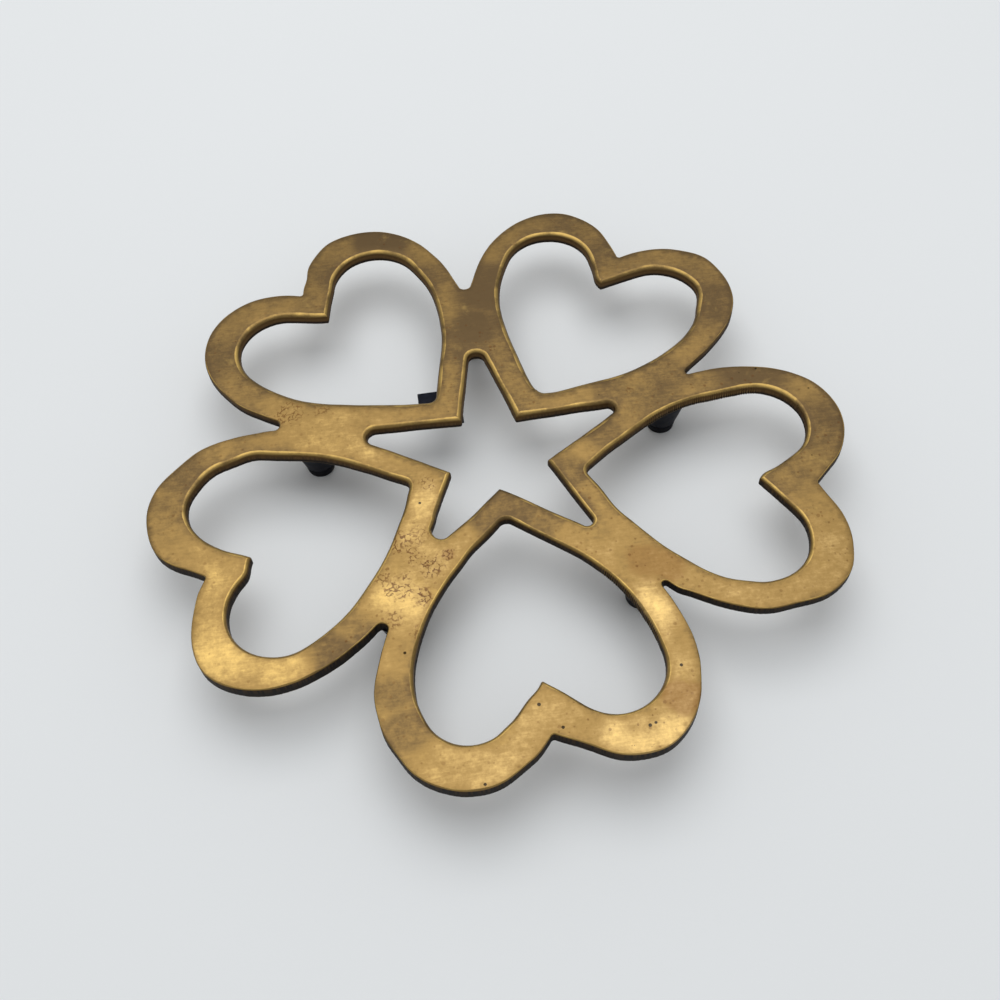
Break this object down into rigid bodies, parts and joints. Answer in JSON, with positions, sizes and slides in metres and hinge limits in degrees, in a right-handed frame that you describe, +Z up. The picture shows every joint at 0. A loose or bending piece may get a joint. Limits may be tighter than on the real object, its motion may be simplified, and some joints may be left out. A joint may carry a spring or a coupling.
{
  "type": "trivet",
  "caption": "Footed openwork trivet: flat brass heart rings cast in one piece around an open star, on short tapered feet with rubber tips.",
  "frame": {"origin": "on the table, under the middle of the plate's outline", "axes": "+Z up, the front heart points to -Y, +X to the right of it"},
  "size_m": [0.2116, 0.2044, 0.0205],
  "materials": {
    "cast_brass": "polished and aged, dark in the hollows",
    "black_feet": "satin black",
    "rubber_tips": "matt",
    "dark_plaque": "matt"
  },
  "bodies": {
    "root": {"heart_star_plate": "cast_brass", "foot_front_right": "black_feet", "foot_right": "black_feet", "foot_back": "black_feet", "foot_left": "black_feet", "foot_front_left": "black_feet", "tip_front_right": "rubber_tips", "tip_right": "rubber_tips", "tip_back": "rubber_tips", "tip_left": "rubber_tips", "tip_front_left": "rubber_tips", "underside_plaque": "dark_plaque"}
  },
  "joints": []
}
